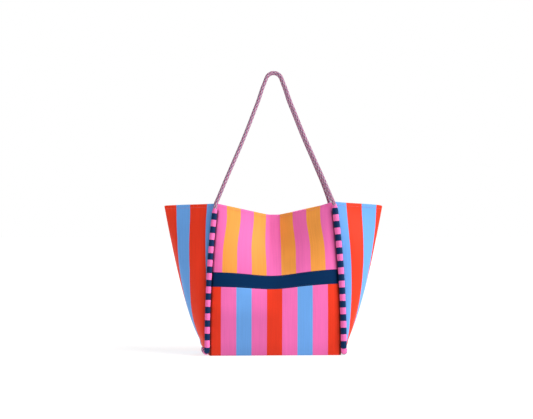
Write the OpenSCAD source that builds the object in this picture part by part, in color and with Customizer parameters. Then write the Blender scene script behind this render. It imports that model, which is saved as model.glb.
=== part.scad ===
// A striped canvas beach bag with flared side wings, piped corner seams and rope handles.
// The bag stands on its base with its front towards -Y. Millimetres, +Z up.
// The origin is on the floor at the middle of the base.

/* [Bag] */
// Height of the rim at the corner seams
bag_h = 355; // [320:5:380]
// Width between the corner seams at the base
base_w = 320; // [300:5:340]
// Width between the corner seams at the rim
rim_w = 280; // [260:5:300]
// Depth between the front and back seams at the base
base_d = 150; // [140:5:160]
// Depth between the front and back seams at the rim
rim_d = 104; // [96:2:110]
// Width across the tips of the wings at the rim
wing_w = 524; // [500:4:540]
// Drop of the rim at the middle, where the snap closes it
rim_dip = 27; // [15:1:30]
// Height of the bottom of the waist band at the corner seams
band_z = 161; // [140:1:180]
// Height of the waist band
band_h = 34; // [25:1:40]

/* [Cloth] */
// Thickness of the canvas
canvas_t = 1.6; // [1.2:0.1:2]
// Thickness of the lining and its facings
lining_t = 0.8; // [0.6:0.1:1]
// Depth of the canvas facing inside the rim
facing_h = 30; // [20:1:40]
// Thickness of the board in the base
board_t = 2; // [1.5:0.5:2.5]

/* [Rope] */
// Diameter of the braided rope
rope_d = 9; // [8:0.5:9.5]
// Outside diameter of the striped casing over the rope
casing_d = 14; // [13.5:0.5:14.5]
// Height of the casing's mouths
mouth_z = 348; // [340:1:350]
// Radius of the casing's bend at the bottom corners
corner_r = 18; // [16:1:20]

/* [Snap] */
// Diameter of the magnetic snap
snap_d = 18; // [14:1:20]

/* [Hidden] */
fine = 48;

// Colours
pink = "#f471b6";
amber = "#f0a850";
navy = "#073666";
red = "#ea3f22";
blue = "#6dacec";
cream = "#eadfcb";
rope_pink = "#a2748a";
steel = "#c9cbce";

// Cloth layers, measured inwards from the canvas's outer face
lining_gap = 1.2;
lining_in = canvas_t + lining_gap;
facing_t = (bag_h - facing_h) / bag_h;
seam_gap = 1;       // half the gap between the cloth on either side of a corner seam
lining_seam = 2.5;  // the same for the lining
join = 0.002;       // gap between two pieces that share a cross seam, as a share of the height
waist_lo = band_z / bag_h;
waist_hi = (band_z + band_h) / bag_h;
tip_gap = 0.4;      // half the gap at the seam down a wing's tip

// How the soft walls bow
belly = 8;          // the lower front swells by this much
snap_wall = 7.4;    // the snap holds the middle of the rim this far from the middle of the bag
wing_drop = 6;      // the rim falls by this much from a corner seam to a wing's tip

// Casing
casing_r = casing_d / 2;
casing_off = casing_r + 0.6;  // from the seam out to the casing's centre
core_r = rope_d / 2;
bore_r = core_r + 0.5;
mouth_taper = 12;   // the last stretch narrows on to the rope
under_z = casing_r + 0.3;             // height of the casing's centre under the side
low_z = corner_r + under_z;           // and of the start of its bend
foot_z = casing_d + 0.9;              // lowest edge of a wing
base_edge = base_w / 2 - casing_r - 0.6;

// Curves
function smooth(a) = let (b = min(max(a, 0), 1)) b * b * (3 - 2 * b);
function mix(a, b, k) = a + (b - a) * k;
function seam_x(z) = base_w / 2 - (base_w - rim_w) / 2 * pow(max(z, 0) / bag_h, 2.2);
function seam_y(z) = base_d / 2 - (base_d - rim_d) / 2 * pow(max(z, 0) / bag_h, 1.5);
function tip_x(z) = base_w / 2 + (wing_w - base_w) / 2 * pow(max(0, z - foot_z) / (bag_h - foot_z), 0.6);
function unit(v) = v / max(norm(v), 1e-9);
bend_y = seam_y(low_z) + casing_off - corner_r;  // depth of the centre of the casing's bend

// Across the front, 1 at the middle and 0 at the seams: how far the rim falls, and how far it is drawn in
snap_flat = 0.067;  // the snap keeps this share of the half width flat
function beyond(s) = 1 - max(0, abs(s) - snap_flat) / (1 - snap_flat);
function fall(s, t) = mix((1 + cos(180 * s)) / 2, beyond(s), 0.5 * smooth((t - 0.55) / 0.45));
function draw_in(s, t) = mix((1 + cos(180 * s)) / 2, pow(beyond(s), 2), smooth((t - 0.5) / 0.3));

// Half width of the front between its seams, narrower where the casing turns under
function half_front(z, edge) =
    min(seam_x(z) - edge, base_edge - edge + 1 + max(0, z - corner_r - 5) * 0.6);

// A point on the front's outer face: s runs from -1 to 1 across, t from 0 to 1 up
function front_point(s, t, edge) =
    let (z = t * bag_h,
         free = -seam_y(z) - belly * sin(180 * t) * (1 - s * s))
    [s * half_front(z, edge),
     mix(free, -snap_wall, smooth((t - 0.5) / 0.44) * draw_in(s, t)),
     z - rim_dip * pow(max(t, 0), 1.5) * fall(s, t)];

// A point on the right front wing's outer face: s runs from 0 at the seam to 1 at the tip
function wing_point(s, t, edge) =
    let (z = t * bag_h,
         power = 2 / (2 - 0.9 * smooth((z - 200) / 150)),
         corner = seam_x(z) + edge)
    [corner + (tip_x(z) - corner) * pow(sin(90 * s), power),
     -tip_gap - (seam_y(z) - tip_gap) * pow(cos(90 * s), power),
     z - wing_drop * s * t];

// The lowest t of a wing, clear of the casing that turns under it
function wing_foot(s) = let (over = max(0, seam_y(foot_z) * cos(90 * s) - bend_y), r = low_z - foot_z)
    (low_z - sqrt(max(0, r * r - over * over))) / bag_h;

// Places a layer depth millimetres inside the point p, and no nearer the tip's seam than tip_gap
function inward(p, n, along, depth) =
    let (q = p - n * depth)
    q[1] > -tip_gap && along[1] > 0.01 ? q - along * ((q[1] + tip_gap) / along[1]) : q;

// Normals point out of the bag
function front_layer(s, t, edge, depth) =
    let (p = front_point(s, t, edge),
         a = front_point(s + 0.01, t, edge) - front_point(s - 0.01, t, edge),
         b = front_point(s, t + 0.01, edge) - front_point(s, t - 0.01, edge))
    p - unit(cross(a, b)) * depth;
function wing_layer(s, t, edge, depth) =
    let (h = min(s, 0.98),
         p = wing_point(s, t, edge),
         a = wing_point(h + 0.02, t, edge) - wing_point(h, t, edge),
         b = wing_point(s, t + 0.01, edge) - wing_point(s, t - 0.01, edge))
    inward(p, unit(cross(a, b)), unit([a[0], a[1], 0]), depth);

// A closed sheet between two grids of points with nu by nv cells
module slab(outer, inner, nu, nv) {
    n = (nu + 1) * (nv + 1);
    function at(i, j, k) = k * n + j * (nu + 1) + i;
    function quad(a, b, c, d) = [[a, b, c], [a, c, d]];
    faces = concat(
        [for (i = [0:nu - 1], j = [0:nv - 1])
            each quad(at(i, j, 0), at(i, j + 1, 0), at(i + 1, j + 1, 0), at(i + 1, j, 0))],
        [for (i = [0:nu - 1], j = [0:nv - 1])
            each quad(at(i, j, 1), at(i + 1, j, 1), at(i + 1, j + 1, 1), at(i, j + 1, 1))],
        [for (i = [0:nu - 1])
            each quad(at(i, 0, 0), at(i + 1, 0, 0), at(i + 1, 0, 1), at(i, 0, 1))],
        [for (i = [0:nu - 1])
            each quad(at(i + 1, nv, 0), at(i, nv, 0), at(i, nv, 1), at(i + 1, nv, 1))],
        [for (j = [0:nv - 1])
            each quad(at(0, j + 1, 0), at(0, j, 0), at(0, j, 1), at(0, j + 1, 1))],
        [for (j = [0:nv - 1])
            each quad(at(nu, j, 0), at(nu, j + 1, 0), at(nu, j + 1, 1), at(nu, j, 1))]);
    polyhedron(points = concat(outer, inner), faces = faces, convexity = 6);
}

// A piece of the front between two heights, depth and thickness inside the outer face
module front_piece(t0, t1, depth, thick, edge, nu, nv) {
    function grid(d) = [for (j = [0:nv], i = [0:nu])
        front_layer(-1 + 2 * i / nu, mix(t0, t1, j / nv), edge, d)];
    slab(grid(depth), grid(depth + thick), nu, nv);
}

// The same for the right front wing, whose lowest edge follows the casing
module wing_piece(t0, t1, depth, thick, edge, nu, nv) {
    function grid(d) = [for (j = [0:nv], i = [0:nu])
        let (s = i / nu, low = max(t0, wing_foot(s)))
        wing_layer(s, mix(low, t1, pow(j / nv, 1.25)), edge, d)];
    slab(grid(depth), grid(depth + thick), nu, nv);
}

// A bar, or a tube with a wall, along a path that never runs along X
module sweep(path, outer, bore, sides) {
    n = len(path);
    hollow = bore > 0;
    function along(i) = unit(path[min(i + 1, n - 1)] - path[max(i - 1, 0)]);
    function ring(i, r) = let (t = along(i), a = unit(cross(t, [1, 0, 0])), b = cross(t, a))
        [for (k = [0:sides - 1]) path[i] + r * (a * cos(360 * k / sides) + b * sin(360 * k / sides))];
    function at(i, k, w) = w * n * sides + i * sides + k % sides;
    skin = [for (i = [0:n - 2], k = [0:sides - 1]) each
        [[at(i, k, 0), at(i, k + 1, 0), at(i + 1, k + 1, 0)],
         [at(i, k, 0), at(i + 1, k + 1, 0), at(i + 1, k, 0)]]];
    wall = [for (i = [0:n - 2], k = [0:sides - 1]) each
        [[at(i, k, 1), at(i + 1, k + 1, 1), at(i, k + 1, 1)],
         [at(i, k, 1), at(i + 1, k, 1), at(i + 1, k + 1, 1)]]];
    rims = [for (k = [0:sides - 1]) each
        [[at(0, k, 0), at(0, k + 1, 1), at(0, k + 1, 0)], [at(0, k, 0), at(0, k, 1), at(0, k + 1, 1)],
         [at(n - 1, k, 0), at(n - 1, k + 1, 0), at(n - 1, k + 1, 1)],
         [at(n - 1, k, 0), at(n - 1, k + 1, 1), at(n - 1, k, 1)]]];
    caps = [[for (k = [sides - 1:-1:0]) at(0, k, 0)], [for (k = [0:sides - 1]) at(n - 1, k, 0)]];
    polyhedron(
        points = concat([for (i = [0:n - 1]) each ring(i, outer[i])],
                        hollow ? [for (i = [0:n - 1]) each ring(i, bore)] : []),
        faces = concat(skin, hollow ? concat(wall, rims) : caps), convexity = 10);
}

// The right casing's centre line from the front mouth down, under the side and up to the back mouth
function casing_front(z) = [seam_x(z), -seam_y(z) - casing_off, z];
casing_half = concat(
    [for (i = [0:12]) casing_front(mix(mouth_z, low_z, i / 12))],
    [for (a = [22.5:22.5:90])
        [seam_x(low_z), -bend_y - corner_r * cos(a), low_z - corner_r * sin(a)]],
    [for (k = [1:3]) [seam_x(low_z), -bend_y * (1 - k / 3), under_z]]);
casing_n = len(casing_half);
casing_path = concat(casing_half,
    [for (i = [casing_n - 2:-1:0]) [casing_half[i][0], -casing_half[i][1], casing_half[i][2]]]);

// The free rope of the front handle from the right mouth to the middle, then mirrored
handle_half = [
    [140.5, -61, 349], [139, -61, 357], [134.5, -59.5, 367], [126, -57.5, 387], [116, -53.5, 411],
    [103.5, -48, 440], [90.5, -42.5, 470], [76, -36.5, 504], [61.5, -30, 540], [48.5, -24, 574],
    [37, -18.5, 604], [28.5, -13.5, 630], [21.5, -10, 648], [17.5, -8, 658.5], [14.8, -7.2, 663],
    [10.6, -6.2, 666.8], [5.6, -5.3, 669.2], [0, -5, 670]];
handle_n = len(handle_half);
handle_path = concat(handle_half,
    [for (i = [handle_n - 2:-1:0]) [-handle_half[i][0], handle_half[i][1], handle_half[i][2]]]);

// Snap
snap_z = bag_h - rim_dip - 13;
snap_face = 0.15;   // half the gap between the closed halves
snap_t = 2.6;
plate_t = 0.6;

module to_back() { mirror([0, 1, 0]) children(); }
module to_left() { mirror([1, 0, 0]) children(); }

module upper_panel() { color(pink) front_piece(waist_hi + join, 1, 0, canvas_t, seam_gap, 15, 12); }
module waist_band() { color(navy) front_piece(waist_lo + join, waist_hi, 0, canvas_t, seam_gap, 15, 4); }
module lower_panel() { color(red) front_piece(0, waist_lo, 0, canvas_t, seam_gap, 15, 14); }
module wing() { color(blue) wing_piece(0, 1, 0, canvas_t, seam_gap, 12, 14); }
module body_lining() {
    color(cream) front_piece(6.5 / bag_h, facing_t - join, lining_in, lining_t, lining_seam, 15, 14);
}
module body_facing() { color(pink) front_piece(facing_t, 1, lining_in, lining_t, lining_seam, 15, 3); }
module wing_lining() { color(cream) wing_piece(0, facing_t - join, lining_in, lining_t, lining_seam, 12, 14); }
module wing_facing() { color(red) wing_piece(facing_t, 1, lining_in, lining_t, lining_seam, 12, 3); }

module base_sheet(z, t, thin_w, thin_d) {
    translate([-base_edge + thin_w, -base_d / 2 + thin_d, z])
        cube([2 * (base_edge - thin_w), base_d - 2 * thin_d, t]);
}
module base_panel() { color(pink) base_sheet(0, canvas_t, 0, canvas_t + 0.6); }
module base_board() { color(cream) base_sheet(canvas_t + 0.4, board_t, 3, 6); }
module base_lining() { color(cream) base_sheet(canvas_t + board_t + 0.8, lining_t, 3, 6); }

module casing() {
    n = len(casing_path);
    function taper(i) = let (d = mouth_z - casing_path[i][2])
        mix(bore_r + 1, casing_r, smooth(d / mouth_taper));
    color(navy) sweep(casing_path, [for (i = [0:n - 1]) taper(i)], bore_r, 12);
}
module rope_core() {
    color(rope_pink) sweep(casing_path, [for (p = casing_path) core_r - 0.1], 0, 10);
}
module handle() { color(rope_pink) handle_sweep(handle_path, core_r, 10); }

// The handle runs along X at its top, so its rings are built about the Y axis instead
module handle_sweep(path, r, sides) {
    n = len(path);
    function along(i) = unit(path[min(i + 1, n - 1)] - path[max(i - 1, 0)]);
    function ring(i) = let (t = along(i), a = unit(cross([0, 1, 0], t)), b = cross(t, a))
        [for (k = [0:sides - 1]) path[i] + r * (a * cos(360 * k / sides) + b * sin(360 * k / sides))];
    function at(i, k) = i * sides + k % sides;
    polyhedron(
        points = [for (i = [0:n - 1]) each ring(i)],
        faces = concat(
            [for (i = [0:n - 2], k = [0:sides - 1]) each
                [[at(i, k), at(i + 1, k + 1), at(i, k + 1)], [at(i, k), at(i + 1, k), at(i + 1, k + 1)]]],
            [[for (k = [0:sides - 1]) at(0, k)], [for (k = [sides - 1:-1:0]) at(n - 1, k)]]),
        convexity = 10);
}

// A disc whose face looks along -Y, from y0 back by t
module disc(y0, t, r) { translate([0, y0, snap_z]) rotate([-90, 0, 0]) cylinder(h = t, r = r, $fn = fine); }
module snap_socket() {
    color(steel) difference() {
        disc(-snap_face - snap_t, snap_t, snap_d / 2);
        disc(-snap_face - 1.5, 2, snap_d / 6);
    }
}
module snap_stud() {
    color(steel) {
        disc(snap_face, snap_t, snap_d / 2);
        disc(-snap_face - 1, 1.5, snap_d / 6 - 0.4);
    }
}
module snap_plate() {
    color(steel) difference() {
        disc(-snap_wall + canvas_t + 0.1, plate_t, snap_d / 3.6);
        disc(-snap_wall + canvas_t, 3, 1.5);
    }
}

upper_panel();  // front_upper_panel
waist_band();  // front_band
lower_panel();  // front_lower_panel
to_back() upper_panel();  // back_upper_panel
to_back() waist_band();  // back_band
to_back() lower_panel();  // back_lower_panel
wing();  // right_front_wing
to_back() wing();  // right_back_wing
to_left() wing();  // left_front_wing
to_left() to_back() wing();  // left_back_wing
base_panel();
base_board();
base_lining();
body_lining();  // front_lining
to_back() body_lining();  // back_lining
wing_lining();  // right_front_lining
to_back() wing_lining();  // right_back_lining
to_left() wing_lining();  // left_front_lining
to_left() to_back() wing_lining();  // left_back_lining
body_facing();  // front_facing
to_back() body_facing();  // back_facing
wing_facing();  // right_front_facing
to_back() wing_facing();  // right_back_facing
to_left() wing_facing();  // left_front_facing
to_left() to_back() wing_facing();  // left_back_facing
casing();  // right_casing
to_left() casing();  // left_casing
rope_core();  // right_rope_core
to_left() rope_core();  // left_rope_core
handle();  // front_handle
to_back() handle();  // back_handle
snap_socket();
snap_stud();
snap_plate();  // snap_socket_plate
to_back() snap_plate();  // snap_stud_plate
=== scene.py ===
"""A striped beach bag with flared wings, piped corners and rope handles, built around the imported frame."""
import math

import bpy
import numpy as np
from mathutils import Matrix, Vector


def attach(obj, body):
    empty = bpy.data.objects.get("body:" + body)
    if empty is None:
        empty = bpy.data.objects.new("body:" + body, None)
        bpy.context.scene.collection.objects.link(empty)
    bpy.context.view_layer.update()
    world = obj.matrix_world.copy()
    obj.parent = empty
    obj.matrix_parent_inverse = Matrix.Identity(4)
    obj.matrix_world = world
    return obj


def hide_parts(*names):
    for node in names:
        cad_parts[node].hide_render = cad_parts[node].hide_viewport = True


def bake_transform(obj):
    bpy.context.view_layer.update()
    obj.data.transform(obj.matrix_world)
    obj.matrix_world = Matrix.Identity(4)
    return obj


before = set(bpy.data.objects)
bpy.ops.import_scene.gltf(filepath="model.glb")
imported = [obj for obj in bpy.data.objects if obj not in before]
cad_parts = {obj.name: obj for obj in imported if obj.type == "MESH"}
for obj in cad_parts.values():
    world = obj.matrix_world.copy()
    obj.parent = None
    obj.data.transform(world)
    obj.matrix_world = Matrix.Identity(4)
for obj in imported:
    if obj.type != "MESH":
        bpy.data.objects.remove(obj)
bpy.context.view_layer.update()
scene = bpy.context.scene
scene.view_settings.view_transform = "Standard"

MM = 0.001

# ---------------------------------------------------------------- camera and light

CAMERA_TURN = math.radians(2.7)
CAMERA_DISTANCE = 3.0
CAMERA_HEIGHT = 0.342
CAMERA_ASIDE = 0.0174
CAMERA_LENS = 84.3
SENSOR_WIDTH = 36
# Azimuth, elevation, strength and spread of each sun
KEY_SUN = (67, 35, 3.35, 46)
BACK_SUN = (200, 35, 1.3, 60)
WORLD_LIGHT = 0.36  # what the background lights the bag with
WORLD_SEEN = 1.0  # how bright the background looks to the camera


def add_camera():
    data = bpy.data.cameras.new("camera")
    data.sensor_width = SENSOR_WIDTH
    data.lens = CAMERA_LENS
    camera = bpy.data.objects.new("camera", data)
    scene.collection.objects.link(camera)
    sin, cos = math.sin(CAMERA_TURN), math.cos(CAMERA_TURN)
    camera.location = (
        -CAMERA_DISTANCE * sin - CAMERA_ASIDE * cos,
        -CAMERA_DISTANCE * cos + CAMERA_ASIDE * sin,
        CAMERA_HEIGHT,
    )
    camera.rotation_euler = (math.pi / 2, 0, -CAMERA_TURN)
    scene.camera = camera


def add_sun(name, azimuth, elevation, strength, spread):
    """Azimuth 0 shines from the front and 90 from the bag's right-hand side as the camera sees it."""
    data = bpy.data.lights.new(name, "SUN")
    data.energy = strength
    data.angle = math.radians(spread)
    sun = bpy.data.objects.new(name, data)
    scene.collection.objects.link(sun)
    a, e = math.radians(azimuth), math.radians(elevation)
    from_dir = Vector((math.sin(a) * math.cos(e), -math.cos(a) * math.cos(e), math.sin(e)))
    sun.rotation_euler = from_dir.to_track_quat("Z", "Y").to_euler()


def add_world(light, seen):
    world = bpy.data.worlds.new("studio")
    scene.world = world
    world.use_nodes = True
    nt = world.node_tree
    background = nt.nodes["Background"]
    path = nt.nodes.new("ShaderNodeLightPath")
    strength = nt.nodes.new("ShaderNodeMapRange")
    strength.inputs["To Min"].default_value = light
    strength.inputs["To Max"].default_value = seen
    nt.links.new(path.outputs["Is Camera Ray"], strength.inputs["Value"])
    background.inputs["Color"].default_value = (1, 1, 1, 1)
    nt.links.new(strength.outputs["Result"], background.inputs["Strength"])


add_camera()
add_sun("key", *KEY_SUN)
add_sun("back", *BACK_SUN)
add_world(WORLD_LIGHT, WORLD_SEEN)

# ---------------------------------------------------------------- materials

RED = (0.86, 0.039, 0.009)
PINK = (0.89, 0.155, 0.460)
AMBER = (0.91, 0.345, 0.060)
BLUE = (0.145, 0.380, 0.82)
NAVY = (0.0005, 0.025, 0.092)
CASING_PINK = (0.90, 0.165, 0.47)
CASING_NAVY = (0.001, 0.024, 0.090)
CREAM = (0.80, 0.74, 0.62)


class Tree:
    """Short names for a material's nodes."""

    def __init__(self, name, rough, sheen=0.0, metallic=0.0, gloss=0.5):
        self.material = bpy.data.materials.new(name)
        self.material.use_nodes = True
        self.tree = self.material.node_tree
        self.shader = self.tree.nodes["Principled BSDF"]
        self.shader.inputs["Roughness"].default_value = rough
        self.shader.inputs["Metallic"].default_value = metallic
        self.shader.inputs["Sheen Weight"].default_value = sheen
        self.shader.inputs["Sheen Roughness"].default_value = 0.5
        self.shader.inputs["Specular IOR Level"].default_value = gloss

    def put(self, value, socket):
        if isinstance(value, bpy.types.NodeSocket):
            self.tree.links.new(value, socket)
        else:
            socket.default_value = value

    def maths(self, operation, *values):
        node = self.tree.nodes.new("ShaderNodeMath")
        node.operation = operation
        for value, socket in zip(values, node.inputs):
            self.put(value, socket)
        return node.outputs[0]

    def mix(self, factor, a, b, blend="MIX"):
        node = self.tree.nodes.new("ShaderNodeMix")
        node.data_type = "RGBA"
        node.blend_type = blend
        self.put(factor, node.inputs[0])
        for value, socket in ((a, node.inputs[6]), (b, node.inputs[7])):
            self.put((*value, 1) if isinstance(value, tuple) else value, socket)
        return node.outputs[2]

    def flat(self):
        """The place on the flat cloth, in metres: across and along."""
        node = self.tree.nodes.new("ShaderNodeUVMap")
        node.uv_map = "flat"
        split = self.tree.nodes.new("ShaderNodeSeparateXYZ")
        self.tree.links.new(node.outputs[0], split.inputs[0])
        return split.outputs[0], split.outputs[1]

    def point_value(self, name):
        node = self.tree.nodes.new("ShaderNodeAttribute")
        node.attribute_name = name
        return node.outputs["Fac"]

    def noise(self, x, y, scale_x, scale_y, detail=2.0):
        join = self.tree.nodes.new("ShaderNodeCombineXYZ")
        self.put(self.maths("MULTIPLY", x, scale_x), join.inputs[0])
        self.put(self.maths("MULTIPLY", y, scale_y), join.inputs[1])
        node = self.tree.nodes.new("ShaderNodeTexNoise")
        node.inputs["Scale"].default_value = 1
        node.inputs["Detail"].default_value = detail
        self.tree.links.new(join.outputs[0], node.inputs["Vector"])
        return node.outputs["Fac"]

    def steps(self, value, colours):
        """One flat colour for each whole number, repeating."""
        count = len(colours)
        place = self.maths("FLOORED_MODULO", self.maths("FLOOR", value), float(count))
        place = self.maths("DIVIDE", self.maths("ADD", place, 0.5), float(count))
        ramp = self.tree.nodes.new("ShaderNodeValToRGB")
        ramp.color_ramp.interpolation = "CONSTANT"
        points = ramp.color_ramp.elements
        while len(points) < count:
            points.new(0.5)
        for i, colour in enumerate(colours):
            points[i].position = i / count
            points[i].color = (*colour, 1)
        self.tree.links.new(place, ramp.inputs[0])
        return ramp.outputs[0]

    def grey(self, value):
        join = self.tree.nodes.new("ShaderNodeCombineColor")
        for socket in join.inputs[:3]:
            self.tree.links.new(value, socket)
        return join.outputs[0]

    def grain(self, scale):
        """Noise fixed to the object, for the pieces that have no flat cloth."""
        coords = self.tree.nodes.new("ShaderNodeTexCoord")
        node = self.tree.nodes.new("ShaderNodeTexNoise")
        node.inputs["Scale"].default_value = scale
        self.tree.links.new(coords.outputs["Object"], node.inputs["Vector"])
        return node.outputs["Fac"]

    def about(self, value, amount):
        """A noise value turned into a change of shade that is even about 0."""
        return self.maths("MULTIPLY", self.maths("SUBTRACT", value, 0.5), amount)

    def ridge(self, value, pitch):
        """Rounded ridges, 0 in the grooves and 1 on top."""
        return self.maths("ABSOLUTE", self.maths("SINE", self.maths("MULTIPLY", value, math.pi / pitch)))

    def finish(self, colour, height, depth, strength=0.6):
        self.put(colour, self.shader.inputs["Base Color"])
        bump = self.tree.nodes.new("ShaderNodeBump")
        bump.inputs["Strength"].default_value = strength
        bump.inputs["Distance"].default_value = depth
        self.tree.links.new(height, bump.inputs["Height"])
        self.tree.links.new(bump.outputs[0], self.shader.inputs["Normal"])
        return self.material


SLUBS = 0.16  # how much the thick and thin yarns change the canvas's shade
PAINTED_SHADE_STRENGTH = 0.85  # how much of the colour the painted shade takes away at its darkest


def woven(name, stripe, first, colours, rib=1.25 * MM, weft=1.0 * MM, along=False,
          groove=0.16, tone=0.10, gloss=0.18, sheen=0.02):
    """Ribbed canvas. The ribs run along the stripes, or across them where along is true."""
    t = Tree(name, 0.55, sheen=sheen, gloss=gloss)
    x, y = t.flat()
    warp, cross = (y, x) if along else (x, y)
    if stripe:
        colour = t.steps(t.maths("DIVIDE", t.maths("SUBTRACT", x, first), stripe), colours)
    else:
        colour = t.mix(0.0, colours[0], colours[0])
    ribs = t.ridge(warp, rib)
    picks = t.ridge(cross, weft)
    yarn = t.noise(warp, cross, 1 / rib, 25.0)
    cloud = t.noise(x, y, 14.0, 9.0, 3.0)
    # Painted shade in the grooves between the ribs
    groove_painted_shade = t.maths("MULTIPLY", t.maths("SUBTRACT", 1.0, ribs), groove)
    shade = t.maths("SUBTRACT", 1.0 + tone / 2 + 0.36 * groove, groove_painted_shade)
    shade = t.maths("SUBTRACT", shade, t.maths("MULTIPLY", yarn, tone))
    shade = t.maths("ADD", shade, t.about(cloud, 0.10))
    slub = t.noise(warp, cross, 330.0, 7.0, 1.0)
    shade = t.maths("ADD", shade, t.about(slub, SLUBS))
    # Painted shade and painted light, read from a point value that the walls carry
    painted_darkening = t.maths("MULTIPLY", t.point_value("painted_shade"), PAINTED_SHADE_STRENGTH)
    shade = t.maths("MULTIPLY", shade, t.maths("SUBTRACT", 1.0, painted_darkening))
    colour = t.mix(1.0, colour, t.grey(shade), "MULTIPLY")
    height = t.maths("ADD", t.maths("MULTIPLY", ribs, 0.7), t.maths("MULTIPLY", picks, 0.25))
    height = t.maths("ADD", height, t.maths("MULTIPLY", yarn, 0.35))
    return t.finish(colour, height, 0.22 * MM)


def plain_thread(name, colour):
    t = Tree(name, 0.6, sheen=0.2)
    x, y = t.flat()
    twist = t.ridge(t.maths("ADD", t.maths("MULTIPLY", x, 0.6), y), 0.5 * MM)
    # Painted light on the ridges of the twist
    shade = t.maths("ADD", 0.8, t.maths("MULTIPLY", twist, 0.25))
    return t.finish(t.mix(1.0, colour, t.grey(shade), "MULTIPLY"), twist, 0.08 * MM)


def piping(name, first):
    """Ribbed canvas in cross bands. first is the length of the pink at the front mouth."""
    t = Tree(name, 0.6, sheen=0.02, gloss=0.1)
    x, y = t.flat()
    colour = t.steps(
        t.maths("DIVIDE", t.maths("SUBTRACT", y, first), BAND), (CASING_NAVY, CASING_PINK)
    )
    ribs = t.ridge(y, BAND / 12)
    yarn = t.noise(x, y, 90.0, 900.0)
    fading_and_painted_light = t.noise(x, y, 60.0, 60.0, 3.0)
    # Painted light on the tops of the ribs
    shade = t.maths("ADD", 0.93, t.maths("MULTIPLY", ribs, 0.10))
    shade = t.maths("ADD", shade, t.about(yarn, 0.16))
    shade = t.maths("ADD", shade, t.about(fading_and_painted_light, 0.12))
    colour = t.mix(1.0, colour, t.grey(shade), "MULTIPLY")
    height = t.maths("ADD", t.maths("MULTIPLY", ribs, 0.8), t.maths("MULTIPLY", yarn, 0.5))
    return t.finish(colour, height, 0.18 * MM)


# Yarns of the rope: sixteen strands wind each way
YARN_PINK, YARN_RED = (0.55, 0.135, 0.28), (0.44, 0.06, 0.11)
YARN_NAVY, YARN_WHITE = (0.045, 0.075, 0.20), (0.60, 0.60, 0.66)
STRANDS_ONE_WAY = [YARN_PINK, YARN_NAVY, YARN_WHITE, YARN_RED] * 4
STRANDS_OTHER_WAY = [YARN_WHITE, YARN_PINK, YARN_NAVY, YARN_PINK] * 4


def braid(name):
    """The cloth's two coordinates count the strands that wind each way."""
    t = Tree(name, 0.7, sheen=0.1, gloss=0.2)
    u, v = t.flat()
    one = t.steps(u, STRANDS_ONE_WAY)
    other = t.steps(v, STRANDS_OTHER_WAY)
    parity = t.maths("FLOORED_MODULO", t.maths("ADD", t.maths("FLOOR", u), t.maths("FLOOR", v)), 2.0)
    colour = t.mix(parity, one, other)
    fibres = t.noise(u, v, 9.0, 9.0, 3.0)
    # Painted shade where the strands meet, lighter in each strand's middle
    edge_u = t.maths("PINGPONG", u, 0.5)
    edge_v = t.maths("PINGPONG", v, 0.5)
    edge = t.maths("MULTIPLY", t.maths("MINIMUM", edge_u, edge_v), 5.0)
    edge = t.maths("MINIMUM", edge, 1.0)
    shade = t.maths("ADD", 0.65, t.maths("MULTIPLY", edge, 0.42))
    shade = t.maths("ADD", shade, t.about(fibres, 0.4))
    colour = t.mix(1.0, colour, t.grey(shade), "MULTIPLY")
    return t.finish(colour, t.maths("ADD", edge, fibres), 0.25 * MM)


BAND = 15.65 * MM  # one colour of a casing, along its length
UPPER_STRIPE, UPPER_FIRST = 34.9 * MM, -20.75 * MM
LOWER_STRIPE, LOWER_FIRST = 35.9 * MM, -20.2 * MM
WING_STRIPE = 36.0  # in millimetres on the flat cloth, before stripe_place fans it out
upper_canvas = woven("upper_canvas", UPPER_STRIPE, UPPER_FIRST, (PINK, AMBER))
lower_canvas = woven("lower_canvas", LOWER_STRIPE, LOWER_FIRST, (RED, PINK, BLUE, PINK))
navy_canvas = woven("navy_canvas", 0, 0, (NAVY,), along=True, groove=0.3, tone=0.2, gloss=0.06, sheen=0)
wing_canvas = woven("wing_canvas", WING_STRIPE * MM, 0, (RED, BLUE))
cotton = woven("lining_cotton", 0, 0, (CREAM,), rib=0.7 * MM, weft=0.7 * MM, groove=0.06, tone=0.06)
# Each casing's mouth height, the length of the pink at its front mouth, and its radius, in millimetres
CASINGS = {"left": (344.5, 11.7, 6.2), "right": (355.0, 9.6, 7.0)}
casing_canvas = {side: piping(f"{side}_casing_canvas", sizes[1] * MM) for side, sizes in CASINGS.items()}
rope = braid("braided_rope")
rim_thread = plain_thread("rim_thread", (0.80, 0.20, 0.24))
band_thread = plain_thread("band_thread", (0.01, 0.05, 0.16))

# ---------------------------------------------------------------- mesh helpers


def mesh_object(name, points, faces, uvs, material):
    """points are in millimetres, and uvs one pair in metres for each corner of each face."""
    data = bpy.data.meshes.new(name)
    data.from_pydata((np.asarray(points) * MM).tolist(), [], faces)
    layer = data.uv_layers.new(name="flat")
    layer.data.foreach_set("uv", np.asarray(uvs, np.float32).ravel())
    data.polygons.foreach_set("use_smooth", [True] * len(data.polygons))
    data.materials.append(material)
    data.update()
    obj = bpy.data.objects.new(name, data)
    scene.collection.objects.link(obj)
    return obj


def unit(v):
    return v / np.maximum(np.linalg.norm(v, axis=-1, keepdims=True), 1e-9)


def along_path(path, values, wanted):
    """Values at arc lengths along a path."""
    steps = np.linalg.norm(np.diff(path, axis=0), axis=1)
    arc = np.concatenate(([0], np.cumsum(steps)))
    return np.stack([np.interp(wanted, arc, values[:, k]) for k in range(values.shape[1])], axis=1)


def arc_length(path):
    return float(np.linalg.norm(np.diff(path, axis=0), axis=1).sum())


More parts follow.
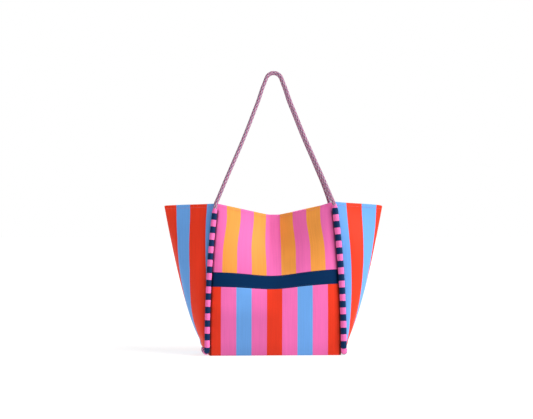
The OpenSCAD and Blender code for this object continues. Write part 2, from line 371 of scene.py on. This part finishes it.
def smooth_path(points, step, passes=12):
    """An even path through the points, with its corners eased and its ends kept."""
    points = np.asarray(points, float)
    dense = []
    count = len(points)
    for i in range(count - 1):
        p0, p1, p2, p3 = (points[min(max(i + k, 0), count - 1)] for k in (-1, 0, 1, 2))
        for t in np.linspace(0, 1, 12, endpoint=False):
            dense.append(
                0.5 * (2 * p1 + (p2 - p0) * t + (2 * p0 - 5 * p1 + 4 * p2 - p3) * t**2
                       + (3 * p1 - p0 - 3 * p2 + p3) * t**3)
            )
    dense.append(points[-1])
    dense = np.array(dense)
    total = arc_length(dense)
    even = along_path(dense, dense, np.linspace(0, total, int(total / step) + 1))
    for _ in range(passes):
        even[1:-1] = (even[:-2] + 2 * even[1:-1] + even[2:]) / 4
    return even


def tube(name, path, radius, sides, uv, material, first_normal):
    """A closed tube. radius(angle, arc) and uv(angle, arc) take arrays of one value per corner."""
    n = len(path)
    tangent = unit(np.gradient(path, axis=0))
    arc = np.concatenate(([0], np.cumsum(np.linalg.norm(np.diff(path, axis=0), axis=1))))
    a = np.zeros_like(path)
    a[0] = unit(np.cross(np.cross(tangent[0], first_normal), tangent[0]))
    for i in range(1, n):
        a[i] = unit(a[i - 1] - tangent[i] * np.dot(a[i - 1], tangent[i]))
    b = np.cross(tangent, a)
    angle = np.arange(sides) * 2 * math.pi / sides
    angles, arcs = np.meshgrid(angle, arc)
    r = radius(angles, arcs)[..., None]
    cos, sin = np.cos(angles)[..., None], np.sin(angles)[..., None]
    ring = path[:, None] + r * (a[:, None] * cos + b[:, None] * sin)
    points = np.concatenate((ring.reshape(-1, 3), path[:1], path[-1:]))
    i, k = (m.ravel() for m in np.meshgrid(np.arange(n - 1), np.arange(sides), indexing="ij"))
    after = (k + 1) % sides
    quads = np.stack((i * sides + k, i * sides + after, (i + 1) * sides + after, (i + 1) * sides + k), 1)
    width = 2 * math.pi / sides
    corner_angle = np.stack((k * width, (k + 1) * width, (k + 1) * width, k * width), 1)
    corner_arc = np.stack((arc[i], arc[i], arc[i + 1], arc[i + 1]), 1)
    uvs = uv(corner_angle.ravel(), corner_arc.ravel())
    k = np.arange(sides)
    start, end = n * sides, n * sides + 1
    caps = [(start, (j + 1) % sides, j) for j in k]
    caps += [(end, (n - 1) * sides + j, (n - 1) * sides + (j + 1) % sides) for j in k]
    cap_uvs = uv(np.zeros(3 * len(caps)), np.repeat([arc[0], arc[-1]], 3 * sides))
    return mesh_object(name, points, quads.tolist() + caps, np.concatenate((uvs, cap_uvs)), material)


# ---------------------------------------------------------------- the two rope handles

# The front handle from its right mouth to the middle, as in part.scad, in millimetres
HANDLE_HALF = [
    (140.5, -61, 349), (139, -61, 357), (134.5, -59.5, 367), (126, -57.5, 387), (116, -53.5, 411),
    (103.5, -48, 440), (90.5, -42.5, 470), (76, -36.5, 504), (61.5, -30, 540), (48.5, -24, 574),
    (37, -18.5, 604), (28.5, -13.5, 630), (21.5, -10, 648), (17.5, -8, 658.5), (14.8, -7.2, 663),
    (10.6, -6.2, 666.8), (5.6, -5.3, 669.2), (0, -5, 670),
]
ROPE_START = (141.6, -60.6, 337)  # inside the casing, below its mouth
ROPE_R = 4.5
BRAID_LENGTH = 2.8
BRAID_STRANDS = 16
BRAID_DEPTH = 0.32
ROPE_STEP, ROPE_SIDES = 0.7, 32  # between the mesh's rings, and round each
# How far the back rope's right leg stands further out, at some heights
LEG_HEIGHTS = (350, 367, 387, 411, 470, 574, 610)
LEG_OUT = (0, 3, 4.5, 5, 4.5, 1.5, 0)


def braid_counts(angle, arc):
    """How many strands of each winding have passed, at an angle round the rope and a length along it."""
    around = BRAID_STRANDS * angle / (2 * math.pi)
    along = arc / BRAID_LENGTH
    return around + along, around - along


def rope_radius(angle, arc):
    u, v = braid_counts(angle, arc)
    across = np.where((np.floor(u) + np.floor(v)) % 2 < 0.5, u, v)
    on_top = np.abs(np.sin(math.pi * across))
    return ROPE_R - 0.30 + BRAID_DEPTH * on_top


def rope_uv(angle, arc):
    u, v = braid_counts(angle, arc)
    return np.stack((u, v), 1)


def add_handle(name, side):
    half = np.array([ROPE_START] + HANDLE_HALF, float)
    other = half[-2::-1] * (-1, 1, 1)
    if side < 0:
        half[:, 0] += np.interp(half[:, 2], LEG_HEIGHTS, LEG_OUT)
    route = np.concatenate((half, other)) * (1, side, 1)
    path = smooth_path(route, ROPE_STEP)
    handle = tube(name, path, rope_radius, ROPE_SIDES, rope_uv, rope, (0, 1, 0))
    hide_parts(name.replace("_rope", "_handle"))
    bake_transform(handle)


add_handle("front_rope", 1)
add_handle("back_rope", -1)

# ---------------------------------------------------------------- the shape of the walls

# The same shapes as part.scad, in millimetres
BAG_H, BASE_W, RIM_W, BASE_D, RIM_D = 355.0, 320.0, 280.0, 150.0, 104.0
WING_W, RIM_DIP, BAND_Z, BAND_H = 524.0, 27.0, 161.0, 34.0
SNAP_WALL, SNAP_FLAT, WING_DROP, TIP_GAP = 7.4, 0.067, 6.0, 0.4
BELLY = 11.0  # 3 mm more than in part.scad, and fuller beside the casings
CASING_R, CORNER_R, MOUTH_Z = 7.0, 18.0, 348.0
CASING_OFF = CASING_R + 0.6
UNDER_Z = CASING_R + 0.3
LOW_Z = CORNER_R + UNDER_Z
FOOT_Z = 2 * CASING_R + 0.9
BASE_EDGE = BASE_W / 2 - CASING_OFF
WAIST_LO, WAIST_HI = BAND_Z / BAG_H, (BAND_Z + BAND_H) / BAG_H
FACING_T = (BAG_H - 30) / BAG_H
CLOTH = 1.2  # thickness of the canvas that is seen
HEM = 6.0  # depth of the hem turned in at the rim, and of its stitching
FOLD_R = 1.8


def smooth(a):
    b = np.clip(a, 0, 1)
    return b * b * (3 - 2 * b)


def mix(a, b, k):
    return a + (b - a) * k


def seam_x(z):
    return BASE_W / 2 - (BASE_W - RIM_W) / 2 * (np.maximum(z, 0) / BAG_H) ** 2.2


def seam_y(z):
    return BASE_D / 2 - (BASE_D - RIM_D) / 2 * (np.maximum(z, 0) / BAG_H) ** 1.5


def tip_x(z):
    return BASE_W / 2 + (WING_W - BASE_W) / 2 * (np.maximum(0, z - FOOT_Z) / (BAG_H - FOOT_Z)) ** 0.6


BEND_Y = float(seam_y(LOW_Z)) + CASING_OFF - CORNER_R
FOOT_BOW = 8.0  # how far the middle of a side's foot is pushed out


def foot_bow(y, z):
    share = np.cos(math.pi / 2 * np.clip(np.abs(y) / (BEND_Y + CORNER_R), 0, 1))
    return FOOT_BOW * share * (1 - smooth((z - FOOT_Z) / 22))


def beyond(s):
    past = np.maximum(0, np.abs(s) - SNAP_FLAT) / (1 - SNAP_FLAT)
    soft = np.sqrt(past**2 + 0.03**2) - 0.03
    return 1 - soft / (math.sqrt(1 + 0.03**2) - 0.03)


def ripple(s, t, seed):
    """Soft unevenness of the cloth, in millimetres, that dies out at the seams."""
    edge = (1 - s**2) * np.sin(math.pi * np.clip(t, 0, 1)) ** 0.5
    return edge * (
        0.9 * np.sin(4.1 * s + 2.3 * t + seed)
        + 0.6 * np.sin(7.7 * s - 3.1 * t + 2.1 * seed)
        + 0.35 * np.sin(2.2 * s + 13 * t + 0.7 * seed)
    )


LIFT_MIDDLE, LIFT_RIGHT, LIFT_CORNER = 2.3, 4.2, 3.5


def front_lift(s, t):
    """The front wall is sewn a little higher towards its right-hand side, in millimetres."""
    middle = LIFT_MIDDLE * smooth((s + 1) / 0.6)
    right = LIFT_RIGHT * smooth((s + 0.1) / 0.6)
    corner = LIFT_CORNER * smooth((s - 0.6) / 0.4) * smooth((t - 0.8) / 0.2)
    return (middle + right) * np.sin(math.pi * np.clip(t, 0, 1)) + corner


def front_point(s, t, edge, face):
    seed, lifted = FACE_FEEL[face]
    z = t * BAG_H
    half = np.minimum(seam_x(z) - edge, BASE_EDGE - edge + 1 + np.maximum(0, z - CORNER_R - 5) * 0.6)
    cosine = (1 + np.cos(math.pi * s)) / 2
    fall = mix(cosine, beyond(s), 0.9 * smooth((t - 0.55) / 0.45))
    drawn = mix(cosine, beyond(s) ** 2, smooth((t - 0.5) / 0.3))
    full = BELLY * np.sin(math.pi * np.clip(t, 0, 1)) * (1 - np.abs(s) ** 6)
    free = -seam_y(z) - full + ripple(s, t, seed)
    return np.stack((
        s * half,
        mix(free, -SNAP_WALL, smooth((t - 0.5) / 0.44) * drawn),
        z - RIM_DIP * np.maximum(t, 0) ** 1.5 * fall + lifted * front_lift(s, t),
    ), -1)


def wing_point(s, t, edge, corner_name):
    seed, lifted = WING_FEEL[corner_name]
    z = t * BAG_H
    power = 2 / (2 - 0.9 * smooth((z - 200) / 150))
    corner = seam_x(z) + edge
    a = math.pi / 2 * s
    sway = ripple(2 * s - 1, t, seed) * 0.8
    y = -TIP_GAP - (seam_y(z) - TIP_GAP) * np.abs(np.cos(a)) ** power - sway * np.sin(2 * a)
    return np.stack((
        corner + (tip_x(z) - corner) * np.abs(np.sin(a)) ** power + 0.6 * sway + foot_bow(y, z),
        y,
        z - WING_DROP * s * t + lifted * (1 - s) * np.clip(t, 0, 1) ** 4,
    ), -1)


def wing_foot(s):
    over = np.maximum(0, seam_y(FOOT_Z) * np.cos(math.pi / 2 * s) - BEND_Y)
    r = LOW_Z - FOOT_Z
    return (LOW_Z - np.sqrt(np.maximum(0, r * r - over * over))) / BAG_H


def even_rows(rows, columns):
    """Each row of points made even along its length. Returns the points and the lengths along the rows."""
    out, arcs = [], []
    for row in rows:
        total = arc_length(row)
        arc = np.linspace(0, total, columns + 1)
        out.append(along_path(row, row, arc))
        arcs.append(arc)
    return np.array(out), np.array(arcs)


def front_grid(t0, t1, edge, columns, rows, face):
    s = np.linspace(-1, 1, 401)
    t = np.linspace(t0, t1, rows + 1)
    points, arcs = even_rows([front_point(s, np.full_like(s, v), edge, face) for v in t], columns)
    middle = arcs[:, -1:] / 2
    return points, np.stack((arcs - middle, np.repeat(t[:, None] * BAG_H, columns + 1, 1)), -1)


# Where a wing's stripes meet, at some heights: lengths from the casing's seam, all in millimetres
WING_STRIPES = {
    "right": (
        (80, (22, 55, 92)), (140, (25, 56, 92)), (200, (27, 60, 95)), (250, (28, 65, 102)),
        (300, (29, 70, 110)), (355, (32, 74, 116)),
    ),
    "left": (
        (82, (3, 53, 89)), (141, (4, 50.5, 86)), (200, (8, 50.5, 86)), (223, (10.5, 52.5, 86.5)),
        (270, (15, 56.5, 90)), (317, (19, 60.5, 96.5)), (355, (20.7, 64.5, 100.5)),
    ),
}


def stripe_place(arcs, heights, corner_name):
    """The flat cloth's coordinate across a wing, which is 0, 36 and 72 where the stripes meet."""
    table = WING_STRIPES[corner_name.split("_")[0]]
    levels = [level for level, _ in table]
    a, b, c = (np.interp(heights, levels, [meets[k] for _, meets in table]) for k in range(3))
    inner = (arcs - a) / (b - a)
    outer = 1 + (arcs - b) / (c - b)
    return WING_STRIPE * np.where(arcs < a, (arcs - a) / WING_STRIPE, np.where(arcs < b, inner, outer))


def wing_grid(t0, t1, edge, columns, rows, corner_name):
    s = np.linspace(0, 1, 301)
    low = np.maximum(t0, wing_foot(s))
    share = np.linspace(0, 1, rows + 1) ** 1.25
    points, arcs = even_rows([wing_point(s, mix(low, t1, v), edge, corner_name) for v in share], columns)
    return points, np.stack((stripe_place(arcs, points[..., 2], corner_name), points[..., 2]), -1)


def normals(grid):
    return unit(np.cross(np.gradient(grid, axis=1), np.gradient(grid, axis=0)))


def hem_over(points, flat):
    """Rows added to a wall so that its top folds in over the rim and ends in a hem."""
    rim, flat_rim = points[-1], flat[-1]
    n = normals(points)[-1]
    up = unit(points[-1] - points[-2])
    rows, flats = [points], [flat]
    for a in np.radians([30, 60, 90, 120, 150, 180]):
        rows.append((rim + up * FOLD_R * math.sin(a) - n * FOLD_R * (1 - math.cos(a)))[None])
        flats.append((flat_rim + (0, FOLD_R * a))[None])
    for d in (2.0, 4.0, HEM):
        rows.append((rim - n * 2 * FOLD_R - up * d)[None])
        flats.append((flat_rim + (0, FOLD_R * math.pi + d))[None])
    return np.concatenate(rows), np.concatenate(flats)


def inside(points, depth):
    """The grid moved into the bag by a depth."""
    return points - normals(points) * depth


def shell(name, grid, flat, thick, material, mirror=(1, 1), painted_shade=None):
    """A closed sheet with rounded edges, from the grid of its outer face.

    The last argument is the painted shade of each point of the grid: 1 is the darkest, 0 is the plain cloth,
    and below 0 is painted light.
    """
    rows, columns = grid.shape[:2]
    n = normals(grid)
    inner = grid - n * thick
    index = np.arange(rows * columns).reshape(rows, columns)
    ring = np.concatenate((index[0, :-1], index[:-1, -1], index[-1, :0:-1], index[:0:-1, 0]))
    out = np.zeros_like(grid)
    out[0] += unit(grid[0] - grid[1])
    out[-1] += unit(grid[-1] - grid[-2])
    out[:, 0] += unit(grid[:, 0] - grid[:, 1])
    out[:, -1] += unit(grid[:, -1] - grid[:, -2])
    flat_grid, flat_inner = grid.reshape(-1, 3), inner.reshape(-1, 3)
    middle = (flat_grid[ring] + flat_inner[ring]) / 2 + unit(out.reshape(-1, 3)[ring]) * thick * 0.3
    count = rows * columns
    points = np.concatenate((flat_grid, flat_inner, middle))
    a, b, c, d = (m.ravel() for m in (index[:-1, :-1], index[:-1, 1:], index[1:, 1:], index[1:, :-1]))
    quads = np.concatenate((np.stack((a, b, c, d), 1), np.stack((a, d, c, b), 1) + count))
    after = np.roll(ring, -1)
    m = 2 * count + np.arange(len(ring))
    m_after = np.roll(m, -1)
    sides = np.concatenate((
        np.stack((ring, m, m_after, after), 1),
        np.stack((m, ring + count, after + count, m_after), 1),
    ))
    faces = np.concatenate((quads, sides))
    cloth = np.concatenate((flat.reshape(-1, 2), flat.reshape(-1, 2), flat.reshape(-1, 2)[ring])) * MM
    if mirror[0] * mirror[1] < 0:
        faces = faces[:, ::-1]
    points = points * (mirror[0], mirror[1], 1)
    points[:, 2] = np.maximum(points[:, 2], 0)
    obj = mesh_object(name, points, faces.tolist(), cloth[faces.ravel()], material)
    # Each point keeps its painted shade as a value that the canvas reads
    if painted_shade is not None:
        dark = painted_shade.reshape(-1)
        layer = obj.data.attributes.new("painted_shade", "FLOAT", "POINT")
        layer.data.foreach_set("value", np.concatenate((dark, dark, dark[ring])).astype(np.float32))
    return obj


def declare(obj):
    """Attaches a shell to the bag's body."""
    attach(obj, "bag")


# The seed of each wall's unevenness, and how much of the lift on the right it has
FACE_FEEL = {"front": (0.4, 1.0), "back": (2.9, 0.0)}
WING_FEEL = {
    "right_front": (1.0, 5.2), "right_back": (2.0, 0.0),
    "left_front": (3.3, 0.0), "left_back": (4.1, 0.0),
}
SIDES = {"front": (1, 1), "back": (1, -1)}
CORNERS = {"right_front": (1, 1), "right_back": (1, -1), "left_front": (-1, 1), "left_back": (-1, -1)}
SEAM = 0.25  # what is left of the gap at a seam


SETTLE, SETTLE_HALF = 4.6, 157  # the most a stripe moves, and about half the panel's width


def settle(flat):
    """The stripes of an upper panel stay a little straighter than its cloth while it draws in."""
    flat = flat.copy()
    x, t = flat[..., 0], flat[..., 1] / BAG_H
    fold = np.sin(math.pi * np.clip((t - 0.6) / 0.4, 0, 1)) ** 2
    across = np.sin(math.pi * np.clip(np.abs(x) / SETTLE_HALF, 0, 1))
    flat[..., 0] = x - SETTLE * np.sign(x) * across * fold
    return flat


# The painted shadow in the fold beside each casing: how far from the seam it reaches, and over what length
# it fades
LEFT_REACH, LEFT_FADE = 11.2, 2.4
RIGHT_REACH, RIGHT_FADE = 10.4, 1.4
WING_PAINTED_SHADOW = 0.2  # how dark the painted shadow is on the wing's side


def seam_painted_shadow(to_seam, points):
    """Painted shadow in the fold beside a casing: 1 in the fold and 0 on the open cloth and above the
    casing's mouth.
    """
    left = points[..., 0] < 0
    reach, fade = np.where(left, LEFT_REACH, RIGHT_REACH), np.where(left, LEFT_FADE, RIGHT_FADE)
    fold = np.clip((reach - to_seam) / fade, 0, 1)
    return fold * np.clip((MOUTH_Z - 4 - points[..., 2]) / 8, 0, 1)


# The most painted light that a wall may carry
BRIGHTEST_PAINTED_LIGHT = -0.14
# Patches of painted shade on a wall, as of soft folds: across, up, half width and half height in
# millimetres, and how dark, where below 0 is painted light
PAINTED_PATCHES = (
    (103, 290, 17, 60, 0.14), (22, 295, 20, 28, -0.11), (33, 205, 26, 26, 0.19), (8, 140, 18, 30, 0.14),
    (-50, 158, 36, 18, -0.13), (-118, 265, 16, 60, -0.07),
)


def painted_light_and_shade(to_seam, points):
    """Painted shade and light on the cloth: above 0 is painted shade, as in hollows, and below 0 painted
    light, as on crowns and beside the right-hand casing.
    """
    x, z = points[..., 0], points[..., 2]
    # Painted shade over the lower left of the wall and towards the floor
    shade = 0.17 * (1 - smooth((x - 2) / 26)) * (1 - smooth((z - 82) / 45))
    shade = shade + 0.10 * (1 - smooth(z / 40))
    for fold_x, fold_z, wide, high, dark in PAINTED_PATCHES:
        shade = shade + dark * np.exp(-(((x - fold_x) / wide) ** 2) - ((z - fold_z) / high) ** 2)
    # Painted light beside the right-hand casing, lifting its cast shadow
    fading_and_painted_light = smooth((to_seam - 10) / 3) * (1 - smooth((to_seam - 16) / 16)) * smooth((x - 60) / 40)
    return np.maximum(shade - 0.20 * fading_and_painted_light, BRIGHTEST_PAINTED_LIGHT)


gap = SEAM / BAG_H
for face, mirror in SIDES.items():
    for part, low, high, rows, canvas, slot in (
        ("lower_panel", 0.0, WAIST_LO, 56, lower_canvas, "lower_canvas"),
        ("band", WAIST_LO + gap, WAIST_HI, 14, navy_canvas, "navy_canvas"),
        ("upper_panel", WAIST_HI + gap, 1.0, 56, upper_canvas, "upper_canvas"),
    ):
        points, flat = front_grid(low, high, SEAM, 120, rows, face)
        if part == "upper_panel":
            points, flat = hem_over(points, settle(flat))
        to_seam = seam_x(points[..., 2]) - np.abs(points[..., 0])
        # Painted shadow in the folds beside the casings, over painted patches of shade and light
        dark = mix(painted_light_and_shade(to_seam, points), 1, seam_painted_shadow(to_seam, points))
        piece = shell(f"{face}_{part}_cloth", points, flat, CLOTH, canvas, mirror, dark)
        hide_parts(f"{face}_{part}")
        declare(piece)

for corner, mirror in CORNERS.items():
    points, flat = wing_grid(0.0, 1.0, SEAM, 56, 100, corner)
    points, flat = hem_over(points, flat)
    to_seam = points[..., 0] - seam_x(points[..., 2])
    # Painted shadow on the wing beside each casing, weaker than on the wall
    dark = WING_PAINTED_SHADOW * seam_painted_shadow(to_seam, points)
    piece = shell(f"{corner}_wing_cloth", points, flat, CLOTH, wing_canvas, mirror, dark)
    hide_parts(f"{corner}_wing")
    declare(piece)

# Facing and lining inside the walls
INSIDE = 2.9  # how far behind the canvas's outer face it lies
LINING_CLOTH = 0.7
LINING_SEAM = 0.4  # what is left of the gap at a seam of the lining
LINING_LOW = 6.5 / BAG_H
FACING_LOW = FACING_T + 0.3 / BAG_H
HEM_T = 1 - (HEM + 0.6) / BAG_H
for face, mirror in SIDES.items():
    for part, low, high, rows, cloth, slot in (
        ("lining", LINING_LOW, FACING_T, 60, cotton, "lining"),
        ("facing", FACING_LOW, HEM_T, 8, upper_canvas, "upper_canvas"),
    ):
        points, flat = front_grid(low, high, LINING_SEAM, 80, rows, face)
        points, flat = inside(points, INSIDE), settle(flat)
        piece = shell(f"{face}_{part}_cloth", points, flat, LINING_CLOTH, cloth, mirror)
        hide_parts(f"{face}_{part}")
        declare(piece)
for corner, mirror in CORNERS.items():
    for part, low, high, rows, cloth, slot in (
        ("lining", 0.0, FACING_T, 60, cotton, "lining"),
        ("facing", FACING_LOW, HEM_T, 8, wing_canvas, "wing_canvas"),
    ):
        points, flat = wing_grid(low, high, LINING_SEAM, 40, rows, corner)
        points = inside(points, INSIDE)
        points[..., 1] = np.minimum(points[..., 1], -TIP_GAP)
        piece = shell(f"{corner}_{part}_cloth", points, flat, LINING_CLOTH, cloth, mirror)
        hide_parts(f"{corner}_{part}")
        declare(piece)


def flat_sheet(name, half_x, half_y, top, thick, material, swell=0.0):
    """A level sheet whose short sides follow the feet of the wings."""
    columns, rows = 40, 20
    x, y = np.meshgrid(np.linspace(-half_x, half_x, columns + 1), np.linspace(-half_y, half_y, rows + 1))
    lift = swell * (1 - (x / half_x) ** 2) * (1 - (y / half_y) ** 2)
    x = x * (1 + foot_bow(y, top) / half_x)
    points = np.stack((x, y, top + lift), -1)
    return shell(name, points, np.stack((x, y), -1), thick, material), points


base, grid = flat_sheet("base_panel_cloth", BASE_EDGE, BASE_D / 2 - 1.5, 1.6, 1.6, lower_canvas)
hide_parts("base_panel")
declare(base)
base_inside, grid = flat_sheet(
    "base_lining_cloth", BASE_EDGE - 1, BASE_D / 2 - 4, 5.3, LINING_CLOTH, cotton, swell=0.4
)
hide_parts("base_lining")
declare(base_inside)

# ---------------------------------------------------------------- casings


def casing_route(mouth_z):
    """The right casing's centre line: down from the front mouth, under the side and up at the back."""
    z = np.linspace(mouth_z, LOW_Z, 60)
    down = np.stack((seam_x(z), -seam_y(z) - CASING_OFF, z), 1)
    a = np.radians(np.linspace(6, 90, 15))
    x = float(seam_x(LOW_Z))
    bend = np.stack((np.full_like(a, x), -BEND_Y - CORNER_R * np.cos(a), LOW_Z - CORNER_R * np.sin(a)), 1)
    y = np.linspace(-BEND_Y, 0, 12)[1:]
    under = np.stack((np.full_like(y, x), y, np.full_like(y, UNDER_Z)), 1)
    half = np.concatenate((down, bend, under))
    half[:, 0] += foot_bow(half[:, 1], half[:, 2])
    return np.concatenate((half, half[-2::-1] * (1, -1, 1)))


GATHER = 12.0  # the length over which a casing draws in to its mouth
BEAD_DEPTH = 0.45
CASING_STEP, CASING_SIDES = 0.87, 28


def add_casing(name, side):
    hand = name.split("_")[0]
    mouth_z, first, fullness = CASINGS[hand]
    path = smooth_path(casing_route(mouth_z) * (side, 1, 1), CASING_STEP, 6)
    total = arc_length(path)

    def radius(angle, arc):
        from_mouth = np.minimum(arc, total - arc)
        gather = smooth(from_mouth / GATHER)
        beads = np.abs(np.sin(math.pi * (arc - first) / (BAND / MM))) ** 0.4
        body = fullness - BEAD_DEPTH + BEAD_DEPTH * beads
        uneven = 0.10 * np.sin(0.21 * arc + 1.3) + 0.06 * np.sin(2 * angle + 0.05 * arc)
        pleats = (1 - gather) * 0.25 * np.sin(9 * angle)
        mouth = ROPE_R + 0.4 + pleats
        lip = np.minimum(from_mouth / 1.2, 1)
        return mix(mouth, body + uneven, gather) * mix(0.86, 1, lip)

    def uv(angle, arc):
        return np.stack((angle * CASING_R, arc), 1) * MM

    piece = tube(f"{name}_cloth", path, radius, CASING_SIDES, uv, casing_canvas[hand], (side, 0, 0))
    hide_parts(name)
    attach(piece, "bag")


add_casing("right_casing", 1)
add_casing("left_casing", -1)

# ---------------------------------------------------------------- stitching


def stitches(name, lines, material):
    """A row of stitches along each line. A line is its points and the cloth's normals there."""
    pitch, length, r, lift = 3.2, 2.4, 0.22, 0.05
    sides, rings = 6, 5
    points, faces, uvs = [], [], []
    for path, normal in lines:
        total = arc_length(path)
        for start in np.arange(pitch / 2, total - length, pitch):
            ends = along_path(path, path, [start, start + length])
            up = unit(along_path(path, normal, [start + length / 2])[0])
            forward = unit(ends[1] - ends[0])
            across = np.cross(forward, up)
            base = len(points)
            for i in range(rings):
                u = i / (rings - 1)
                bulge = r * math.sin(math.pi * (0.12 + 0.76 * u)) ** 0.5
                centre = mix(ends[0], ends[1], u) + up * (lift + 0.18 * math.sin(math.pi * u) - 0.12)
                for k in range(sides):
                    a = 2 * math.pi * k / sides
                    points.append(centre + bulge * (across * math.cos(a) + up * math.sin(a)))
            for i in range(rings - 1):
                for k in range(sides):
                    j = (k + 1) % sides
                    faces.append((base + i * sides + k, base + i * sides + j,
                                  base + (i + 1) * sides + j, base + (i + 1) * sides + k))
                    u0, u1 = start + length * i / (rings - 1), start + length * (i + 1) / (rings - 1)
                    v0, v1 = k / sides, k / sides + 0.16
                    uvs += [(v0, u0), (v1, u0), (v1, u1), (v0, u1)]
            faces.append(tuple(base + k for k in range(sides - 1, -1, -1)))
            faces.append(tuple(base + (rings - 1) * sides + k for k in range(sides)))
            uvs += [(0, start)] * (2 * sides)
    piece = mesh_object(name, np.array(points), faces, np.array(uvs) * (2 * MM, MM), material)
    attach(piece, "bag")
    return piece


def front_line(t, face):
    """A line across a wall at height t, on its outer face."""
    s = np.linspace(-1, 1, 241)
    grid = np.stack([front_point(s, np.full_like(s, t + d), 9.0, face) for d in (-0.005, 0, 0.005)])
    mirror = (1, SIDES[face][1], 1)
    return grid[1] * mirror, normals(grid)[1] * mirror


def wing_line(t, corner):
    """The same across a wing."""
    s = np.linspace(0.02, 0.995, 161)
    grid = np.stack([wing_point(s, np.full_like(s, t + d), 4.0, corner) for d in (-0.005, 0, 0.005)])
    mirror = (*CORNERS[corner], 1)
    return grid[1] * mirror, normals(grid)[1] * mirror


RIM_STITCH = 1 - HEM / BAG_H
BAND_INSET = 2.2 / BAG_H
for face in SIDES:
    piece = stitches(f"{face}_rim_stitching", [front_line(RIM_STITCH, face)], rim_thread)
    lines = [front_line(WAIST_LO + BAND_INSET, face), front_line(WAIST_HI - BAND_INSET, face)]
    piece = stitches(f"{face}_band_stitching", lines, band_thread)
piece = stitches("wing_stitching", [wing_line(RIM_STITCH, corner) for corner in CORNERS], rim_thread)

# ---------------------------------------------------------------- carried-over CAD pieces


def grained(name, rough, scale, base, change, depth, strength, metallic=0.0):
    """A plain grey material with a fine grain."""
    t = Tree(name, rough, metallic=metallic)
    grain = t.grain(scale)
    shade = t.maths("ADD", base, t.maths("MULTIPLY", grain, change))
    return t.finish(t.grey(shade), grain, depth, strength)


def fibrous(name, colour):
    """The plain rope inside a casing."""
    t = Tree(name, 0.8)
    grain = t.grain(500)
    shade = t.maths("ADD", 0.5, grain)
    return t.finish(t.mix(1.0, colour, t.grey(shade), "MULTIPLY"), grain, 0.2 * MM)


def wear(node, material):
    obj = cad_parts[node]
    obj.data.materials.clear()
    obj.data.materials.append(material)


snap_metal = grained("snap_metal", 0.32, 900, 0.62, 0.2, 0.02 * MM, 0.3, metallic=1.0)
core_rope = fibrous("core_rope", (0.45, 0.22, 0.34))
for node in ("snap_socket", "snap_stud", "snap_socket_plate", "snap_stud_plate"):
    wear(node, snap_metal)
for node in ("left_rope_core", "right_rope_core"):
    wear(node, core_rope)
wear("base_board", grained("base_board", 0.6, 400, 0.6, 0.12, 0.05 * MM, 0.4))

# ---------------------------------------------------------------- floor


FLOOR_HALF = 12.0
FLOOR_GLOW = 0.70
FLOOR_SHADE = 0.38
FLOOR_DROP = 0.0004  # keeps the floor clear of the bag's underside


def add_floor():
    size = FLOOR_HALF
    data = bpy.data.meshes.new("floor")
    corners = [(-size, -size, 0), (size, -size, 0), (size, size, 0), (-size, size, 0)]
    data.from_pydata(corners, [], [(0, 1, 2, 3)])
    t = Tree("floor", 0.9, gloss=0.0)
    t.shader.inputs["Emission Color"].default_value = (1, 1, 1, 1)
    t.shader.inputs["Emission Strength"].default_value = FLOOR_GLOW
    grain = t.grain(40)
    shade = t.maths("ADD", FLOOR_SHADE, t.maths("MULTIPLY", grain, 0.01))
    data.materials.append(t.finish(t.grey(shade), grain, 0.01 * MM, 0.1))
    floor = bpy.data.objects.new("floor", data)
    floor.location.z = -FLOOR_DROP
    scene.collection.objects.link(floor)


add_floor()
